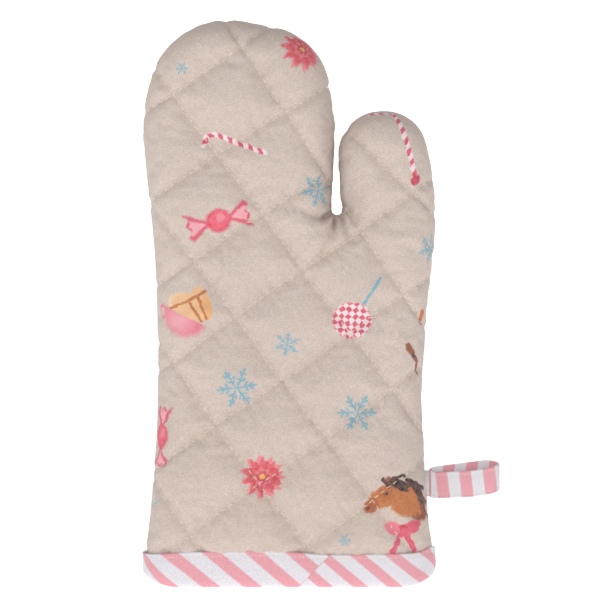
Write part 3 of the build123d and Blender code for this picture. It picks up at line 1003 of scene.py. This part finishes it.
@lru_cache(maxsize=None)
def striped_material(kind):
    """Cotton poplin printed with pink stripes, cut on the slant for binding, straight for tape."""
    material, tree, shader = new_material(f"cotton poplin, striped {kind}", 0.85, 0.15)
    colours = bpy.context.scene.mitt_colours
    place = cloth_place(tree)
    grain = weave(tree, place, 0.9)
    apart = add_node(tree, SEPARATE, {0: place})
    u, v = apart.outputs["X"], apart.outputs["Y"]

    def stripes(start, slope, period, share):
        run = add_node(tree, MATH, (u, start), operation="SUBTRACT")
        along = add_node(tree, MATH, (v, slope, run), operation="MULTIPLY_ADD")
        return striped(tree, along, period, share)

    if kind == "binding":
        # two lengths of binding meet in a slanting join, so their stripes differ
        left, right = stripes(25.5, 1.27, 22.0, 0.45), stripes(38.2, 1.15, 18.3, 0.44)
        past = add_node(tree, MATH, (v, -0.963, u), operation="MULTIPLY_ADD")
        choose = add_node(tree, MATH, (past, 5.0), operation="GREATER_THAN")
        mask = add_node(tree, MIX, {0: choose, 2: left, 3: right}, data_type="FLOAT")
        beyond = add_node(tree, MATH, (past, 5.0), operation="SUBTRACT")
        apart = add_node(tree, MATH, (beyond,), operation="ABSOLUTE")
        join = below(tree, apart, 0.3, 0.2)
        shade = add_node(tree, MATH, (join, 0.35), operation="MULTIPLY")
    else:
        mask, shade = stripes(7.0, 0.12, 12.6, 0.5), 0.0
    white, pink = grained(tree, grain, colours.stripe_ground), grained(tree, grain, colours.stripe)
    tone = add_node(tree, MIX, {0: mask, 6: white, 7: pink}, data_type="RGBA").outputs[2]
    tone = ink(tree, tone, shade, "#B98A88")
    tree.links.new(tone, shader.inputs["Base Color"])
    woven_bump(tree, shader, grain, 0.1)
    return material


# ---------------------------------------------------------------- operators

class MITT_OT_panels(bpy.types.Operator):
    """Build the quilted front and back panels of the hand and the thumb"""
    bl_idname = "mitt.panels"
    bl_label = "Quilted panels"

    def execute(self, context):
        _, quads, _, _, flat = panel_cloth()
        thumb = on_thumb(flat[quads].mean(1))
        for side in ("front", "back"):
            for part, chosen in (("hand", ~thumb), ("thumb", thumb)):
                obj = thick_piece(f"{side}_{part}_panel", quads[chosen], side == "front",
                                  [canvas_material(), lining_material()])
                bodies = ("thumb",) if part == "thumb" else ("palm", "fingers")
                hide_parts(*(f"{side}_{layer}_{body}" for body in bodies
                                   for layer in ("cover", "wadding", "lining")))
                bend(obj, part)
        return {"FINISHED"}


class MITT_OT_quilting(bpy.types.Operator):
    """Sew the rows of quilting over both panels"""
    bl_idname = "mitt.quilting"
    bl_label = "Quilting stitches"

    def execute(self, context):
        spots, quads, _, _, _ = panel_cloth()
        tree = BVHTree.FromPolygons(spots.tolist(), quads.tolist())
        pitch = prop("mitt_quilting", "stitch_pitch")
        found = {"hand": ([], [], []), "thumb": ([], [], [])}
        for row in quilt_rows(1.0):
            centres, runs = along_path(row, pitch)
            base, thumb = surface(centres)[0], on_thumb(centres)
            ahead = surface(centres + unit(runs) * 0.8)[0]
            for spot, further, is_thumb in zip(base, ahead, thumb):
                place, normal, _, _ = tree.find_nearest(Vector(spot))
                other = tree.find_nearest(Vector(further))[0]
                lists = found["thumb" if is_thumb else "hand"]
                for way in (1, -1):
                    turned = Vector((1, way, 1))
                    lists[0].append((place + normal * 0.14) * turned)
                    lists[1].append((other - place) * turned)
                    lists[2].append(normal * turned)
        thread = thread_material("cotton thread, quilting", "thread")
        for part, (centres, runs, normals) in found.items():
            obj = stitched(f"{part}_quilting", centres, runs, normals,
                           prop("mitt_quilting", "stitch_length"),
                           prop("mitt_quilting", "stitch_width"), thread)
            bodies = ("thumb",) if part == "thumb" else ("palm", "fingers")
            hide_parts(*(f"{side}_quilting_{body}" for body in bodies
                               for side in ("front", "back")))
            bend(obj, part)
        return {"FINISHED"}


def rim_lift(x, z):
    """How far the rim is drawn up at its two ends, where the side seams shorten it."""
    share = np.clip(1 - z / prop("mitt_binding", "height"), 0, 1)
    return 6.0 * (np.maximum(np.abs(x) - 60, 0) / 18) ** 2 * share


def edge_runs(inset, low):
    """The outline above a height, in runs that belong to the hand or to the thumb."""
    line = rounded_outline(1.5, inset)
    line = line[line[:, 1] > low]
    thumb = on_thumb(line)
    first, last = np.flatnonzero(thumb)[[0, -1]]
    return {"hand": [line[:first + 1], line[last:]], "thumb": [line[first:last + 1]]}


def turned_out(runs):
    """Directions square to the outline, pointing outwards."""
    return unit(np.column_stack((-runs[:, 1], 0 * runs[:, 0], runs[:, 0])))


def upright(points):
    """Points of the plane as points in space."""
    return np.column_stack((points[:, 0], 0 * points[:, 0], points[:, 1]))


class MITT_OT_seams(bpy.types.Operator):
    """Sew the side seam, with its turned-in allowance and the overlocking over the raw edge"""
    bl_idname = "mitt.seams"
    bl_label = "Side seam"

    def execute(self, context):
        pitch = prop("mitt_quilting", "seam_pitch")
        reach, low = prop("mitt_shape", "allowance"), prop("mitt_binding", "height") + 1.6
        sewing = thread_material("cotton thread, sewing", "thread")
        fluff = thread_material("polyester thread, overlocking", "overlock")
        for part, bodies in (("hand", ("palm", "fingers")), ("thumb", ("thumb",))):
            lists = ([], [], [])
            for run in edge_runs(0.8, low)[part]:
                centres, runs = along_path(run, pitch)
                lists[0].extend(upright(centres))
                lists[1].extend(upright(runs))
                lists[2].extend(turned_out(runs))
            seam = stitched(f"{part}_seam_thread", *lists, pitch * 0.85, 0.5, sewing)
            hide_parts(*(f"seam_thread_{body}" for body in bodies))
            bend(seam, part)

            lists = ([], [], [])
            for run in edge_runs(reach - 1.2, low + 1)[part]:
                centres, runs = along_path(run, 1.7)
                out = turned_out(runs)
                for way in (1, -1):
                    lists[0].extend(upright(centres) + (0, way * 1.05, 0))
                    lists[1].extend(out + upright(runs) * 0.25 * way)
                    lists[2].extend(np.tile((0, way, 0), (len(out), 1)))
                lists[0].extend(upright(centres) - out * 1.5)
                lists[1].extend(upright(runs))
                lists[2].extend(-out)
            over = stitched(f"{part}_overlock", *lists, 2.9, 0.45, fluff)
            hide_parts(*(f"overlock_thread_{body}" for body in bodies))
            bend(over, part)
            allowance(part, reach, low)
        return {"FINISHED"}


def allowance(part, reach, low):
    """Both turned-in edges of the panels, as one flat strip beside the seam."""
    hidden, half = 5.0, 0.9  # depth of the panels' own edges, and half the strip's thickness
    inner, outer = edge_runs(reach, low)[part], edge_runs(hidden, low)[part]
    for number, (near, far) in enumerate(zip(outer, inner)):
        count = min(len(near), len(far))
        pick = [np.linspace(0, len(run) - 1, count).round().astype(int) for run in (near, far)]
        near, far = upright(near[pick[0]]), upright(far[pick[1]])
        stations, profile = [], []
        for a, b in zip(near, far):
            width = np.linalg.norm(b - a)
            stations.append((a, (b - a) / width, np.array((0.0, 1.0, 0.0))))
            profile.append([(0, -half), (width - 0.4, -half), (width, -half + 0.4),
                            (width, half - 0.4), (width - 0.4, half), (0, half)])
        runs = run_lengths(near)
        obj = swept(f"{part}_allowance" + ("", "_b")[number], stations, profile,
                    [lining_material()], runs, [0, 9, 9.4, 10.4, 10.8, 19.8, 21])
        bend(obj, part)


def cuff_stations(step):
    """Stations round the cuff: place, way out, run from the front's middle, and the whole run."""
    run, depth = prop("mitt_shape", "edge_run"), prop("mitt_shape", "crease_depth")
    reach = 0.494 * prop("mitt_shape", "width")
    flat = reach - run
    turn = np.linspace(0, math.pi / 2, 40)
    corner = np.column_stack((flat + run * np.sin(turn), -depth * np.cos(turn)))
    quarter = np.vstack(((0, -depth), corner, corner[::-1] * (1, -1), (0, depth)))
    half = quarter[np.diff(run_lengths(quarter), prepend=-1) > 1e-6]
    path = np.vstack((half[::-1] * (-1, 1), half[1:]))
    length = run_lengths(path)
    count = round(length[-1] / step)
    at = np.linspace(0, length[-1], count + 1)[:-1]
    spots = spots_at(at, length, path)
    ahead = unit(np.roll(spots, -1, axis=0) - np.roll(spots, 1, axis=0))
    out = np.column_stack((ahead[:, 1], -ahead[:, 0]))
    return spots, out, at - length[-1] / 2, length[-1]


def cuff_wave(run, total):
    """How far the binding's upper edge rises above or falls below its height."""
    at = (-82, -47, -15, 27, 65, 80, 95, 130, 170, 215, 250)
    rise = (-1.2, 0.9, 1.5, -0.7, -0.1, 2.6, 1.4, 0.4, -0.8, 0.5, -0.7)
    at, rise = np.array((*at, total + at[0])), np.array((*rise, rise[0]))
    run = (run - at[0]) % total + at[0]
    pick = np.clip(np.searchsorted(at, run) - 1, 0, len(at) - 2)
    return rise[pick] + (rise[pick + 1] - rise[pick]) * smooth(at[pick], at[pick + 1], run)


def binding_section(run, x, total):
    """The binding's section at one place: distance out and height, and each point's cloth place."""
    section = [(-0.9, 16.4), (0.0, 17.6), (0.65, 17.9), (1.2, 17.5), (1.35, 16.7), (0.85, 15.6),
               (1.15, 14.5), (1.2, 12), (1.3, 8), (1.2, 4.2), (0.8, 1.7), (0.1, 0.4), (-1.4, 0),
               (-3.6, 0), (-5.8, 0.1), (-7.2, 0.5), (-7.9, 1.7), (-8.2, 5), (-8.2, 11),
               (-7.8, 15.6), (-8.1, 16.6), (-7.7, 17.4), (-7.2, 17.2), (-7.05, 16), (-7.1, 5),
               (-6.6, 2.2), (-4, 1.3), (-1.5, 1.4), (-0.95, 2.4), (-0.9, 12)]
    section = np.array(section)
    high = prop("mitt_binding", "height")
    share = np.clip(section[:, 1] / high, 0, 1)
    raised = section[:, 1] + cuff_wave(run, total) * share ** 1.5 + rim_lift(x, section[:, 1])
    soft = 0.3 * math.sin(run / 6.1) * np.sin(math.pi * share) * (section[:, 0] > 0.5)
    return np.column_stack((section[:, 0] + soft, raised)), section[:, 1]


class MITT_OT_binding(bpy.types.Operator):
    """Fold the striped binding over the cuff and sew it on"""
    bl_idname = "mitt.binding"
    bl_label = "Cuff binding"

    def execute(self, context):
        spots, out, run, total = cuff_stations(2.0)
        stations, profile = [], []
        for spot, way, at in zip(spots, out, run):
            stations.append((np.array((*spot, 0)), np.array((*way, 0)), np.array((0, 0, 1.0))))
            section, sides = binding_section(at, spot[0], total)
            profile.append(section)
        runs = np.append(run, total / 2)
        obj = swept("folded_binding", stations, profile, [striped_material("binding")], runs,
                    [*sides, sides[0]], ring=True)
        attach(obj, "palm")
        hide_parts("cuff_binding")

        pitch, drop = prop("mitt_binding", "stitch_pitch"), prop("mitt_binding", "stitch_drop")
        spots, out, run, total = cuff_stations(pitch)
        height = prop("mitt_binding", "height") - drop + cuff_wave(run, total) * 0.82
        ahead = np.roll(np.column_stack((spots, height)), -1,
                        axis=0) - np.column_stack((spots, height))
        lists = ([], [], [])
        for offset, way in ((0.95, 1), (-7.9, -1)):
            lists[0].extend(np.column_stack((spots + out * offset, height)))
            lists[1].extend(ahead)
            lists[2].extend(np.column_stack((out * way, 0 * height)))
        obj = stitched("binding_stitches", *lists, pitch * 0.72, 0.42,
                       thread_material("cotton thread, sewing", "thread"))
        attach(obj, "palm")
        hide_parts("binding_stitching")
        return {"FINISHED"}


def loop_path():
    """Middle line of the tape, closed: out along the front, round the far fold and back."""
    near, far, reach = 0.85, 4.95, 30.9
    lean = math.asin((far - near) / reach)
    side = math.pi / 2 + lean
    root, fold = np.array((LOOP_X, 0)), np.array((LOOP_X + reach, 0))

    def arc(centre, radius, first, last, count):
        angles = np.linspace(first, last, count)
        return centre + radius * np.column_stack((np.cos(angles), np.sin(angles)))
    plan = np.vstack((arc(fold, far, -side, side, 19),
                      arc(root, near, side, 2 * math.pi - side, 7)))
    plan = np.vstack((plan[-1:], plan))
    length, rise = run_lengths(plan), prop("mitt_binding", "loop_rise")
    at = np.linspace(0, length[-1], 90)[:-1]
    spots = spots_at(at, length, plan)
    turns = (0, 0.7 * length[1], length[1], length[10], length[19], length[20], length[-1])
    z = LOOP_Z - 1 + np.interp(at, turns, rise * np.array((0, 0.18, 0.42, 0.8, 1.05, 0.45, 0)))
    for _ in range(4):
        z = (np.roll(z, 1) + z + np.roll(z, -1)) / 3
    spots[:, 1] -= 0.7 * np.sin(math.pi * at / length[1]) * (at < length[1])  # the tape bows out
    return np.column_stack((spots, z)), np.append(at, length[-1])


class MITT_OT_loop(bpy.types.Operator):
    """Sew the tape loop and catch its ends in the side seam"""
    bl_idname = "mitt.loop"
    bl_label = "Hanging loop"

    def execute(self, context):
        wide, thick = prop("mitt_binding", "tape_width") / 2, prop("mitt_binding",
                                                                   "tape_thickness") / 2
        spots, runs = loop_path()
        ahead = unit(np.roll(spots, -1, axis=0) - np.roll(spots, 1, axis=0))
        up = np.tile((0, 0, 1.0), (len(spots), 1))
        out = unit(np.cross(ahead, up))
        section = [(-thick, -wide + 0.5), (-thick * 0.6, -wide), (thick * 0.6, -wide),
                   (thick, -wide + 0.5), (thick, -wide + 1.2), (thick * 0.7, -wide + 1.7),
                   (thick, -wide + 2.3), (thick * 1.05, 0), (thick, wide - 2.3),
                   (thick * 0.7, wide - 1.7), (thick, wide - 1.2), (thick, wide - 0.5),
                   (thick * 0.6, wide), (-thick * 0.6, wide), (-thick, wide - 0.5),
                   (-thick * 0.9, 0)]
        sides = [q + wide for _, q in section]
        obj = swept("tape_loop", list(zip(spots, out, up)), [section] * len(spots),
                    [striped_material("tape")], runs, [*sides, sides[0]], ring=True)
        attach(obj, "loop")
        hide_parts("hanging_loop")

        lists = ([], [], [])
        for level in (-wide + 1.7, wide - 1.7):
            edge = spots + up * level + out * (thick * 0.75)
            centres, steps = along_path(edge[3:-8], prop("mitt_binding", "stitch_pitch"))
            pick = [int(np.linalg.norm(edge - c, axis=1).argmin()) for c in centres]
            lists[0].extend(centres)
            lists[1].extend(steps)
            lists[2].extend(out[pick])
        obj = stitched("tape_stitches", *lists, prop("mitt_binding", "stitch_pitch") * 0.72, 0.3,
                       thread_material("cotton thread, white", "overlock"))
        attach(obj, "loop")
        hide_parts("loop_stitching")

        section = [(-0.7, -wide), (0.7, -wide), (0.8, 0), (0.7, wide), (-0.7, wide), (-0.8, 0)]
        xs = np.linspace(LOOP_X - 12, LOOP_X - 0.4, 7)
        stations = [(np.array((x, 0, LOOP_Z)), np.array((0, 1.0, 0)),
                     np.array((0, 0, 1.0))) for x in xs]
        obj = swept("tape_ends", stations, [section] * len(xs), [striped_material("tape")],
                    xs - xs[-1], [0, 0, wide, 2 * wide, 2 * wide, wide, 0])
        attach(obj, "palm")
        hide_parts("loop_ends")
        return {"FINISHED"}


class MITT_OT_stage(bpy.types.Operator):
    """Set the floor, the backdrop, the lights and the camera"""
    bl_idname = "mitt.stage"
    bl_label = "Stage"

    def execute(self, context):
        scene = context.scene
        # matt white paper, lit from behind so that it stays white
        material, _, shader = new_material("paper sweep, matt", 1.0, 0.0)
        shader.inputs["Base Color"].default_value = (*linear("#F4F4F4"), 1)
        shader.inputs["Emission Color"].default_value = (1, 1, 1, 1)
        shader.inputs["Emission Strength"].default_value = 0.62
        width, front, back, high, bend_radius = 3500, -3500, 2400, 3000, 600
        profile = [(front, 0), (back - bend_radius, 0)]
        profile += [(back - bend_radius + bend_radius * math.sin(a),
                     bend_radius * (1 - math.cos(a))) for a in np.linspace(0.1, math.pi / 2, 12)]
        profile.append((back, high))
        verts = [(x, y, z) for y, z in profile for x in (-width, width)]
        faces = [(2 * i, 2 * i + 1, 2 * i + 3, 2 * i + 2) for i in range(len(profile) - 1)]
        make_object("sweep", verts, faces, [material])

        world = bpy.data.worlds.new("studio")
        world.use_nodes = True
        world.node_tree.nodes["Background"].inputs["Color"].default_value = (1, 1, 1, 1)
        seen = add_node(world.node_tree, "ShaderNodeLightPath").outputs["Is Camera Ray"]
        strength = add_node(world.node_tree, MAP_RANGE, {"Value": seen, "To Min": 0.4})
        world.node_tree.links.new(strength.outputs[0],
                                  world.node_tree.nodes["Background"].inputs["Strength"])
        scene.world = world
        for name, spot, wide, power in (("low_front", (-0.3, -1.5, 0.1), 0.8, 7.0),
                                        ("high_left", (-1.3, -1.3, 1.2), 1.0, 4.0),
                                        ("right_fill", (1.5, -0.9, 0.6), 1.0, 2.0)):
            light = bpy.data.lights.new(name, "AREA")
            light.size, light.energy = wide, power
            lamp = bpy.data.objects.new(name, light)
            lamp.location = spot
            aim = Vector((0, 0, 0.16)) - Vector(spot)
            lamp.rotation_euler = aim.to_track_quat("-Z", "Y").to_euler()
            scene.collection.objects.link(lamp)

        distance, across = 1.4, 0.321
        data = bpy.data.cameras.new("camera")
        data.sensor_width = 36.0
        data.lens = data.sensor_width * distance / across
        data.clip_end = 20
        camera = bpy.data.objects.new("camera", data)
        camera.location = (0.006, -distance, 0.1514)
        camera.rotation_euler = (math.pi / 2, 0, 0)
        scene.collection.objects.link(camera)
        scene.camera = camera
        scene.view_settings.view_transform = "Standard"
        return {"FINISHED"}


GROUPS = {"mitt_shape": MITT_PG_shape, "mitt_quilting": MITT_PG_quilting,
          "mitt_binding": MITT_PG_binding, "mitt_colours": MITT_PG_colours}
OPERATORS = (MITT_OT_panels, MITT_OT_quilting, MITT_OT_seams, MITT_OT_binding, MITT_OT_loop,
             MITT_OT_stage)


class MITT_PT_sidebar(bpy.types.Panel):
    """Sizes, colours and steps of the mitt"""
    bl_idname = "MITT_PT_sidebar"
    bl_label = "Quilted oven mitt"
    bl_space_type = "VIEW_3D"
    bl_region_type = "UI"
    bl_category = "Oven mitt"

    def draw(self, context):
        for group in GROUPS:
            box = self.layout.box()
            for name in GROUPS[group].__annotations__:
                box.prop(getattr(context.scene, group), name)
        for operator in OPERATORS:
            self.layout.operator(operator.bl_idname)


def register():
    for made in (*GROUPS.values(), *OPERATORS, MITT_PT_sidebar):
        bpy.utils.register_class(made)
    for name, group in GROUPS.items():
        setattr(bpy.types.Scene, name, bpy.props.PointerProperty(type=group))


def unregister():
    for name in GROUPS:
        delattr(bpy.types.Scene, name)
    for made in reversed((*GROUPS.values(), *OPERATORS, MITT_PT_sidebar)):
        bpy.utils.unregister_class(made)


def main():
    register()
    for build in (bpy.ops.mitt.panels, bpy.ops.mitt.quilting, bpy.ops.mitt.seams,
                  bpy.ops.mitt.binding, bpy.ops.mitt.loop, bpy.ops.mitt.stage):
        build()


if __name__ == "__main__":
    main()
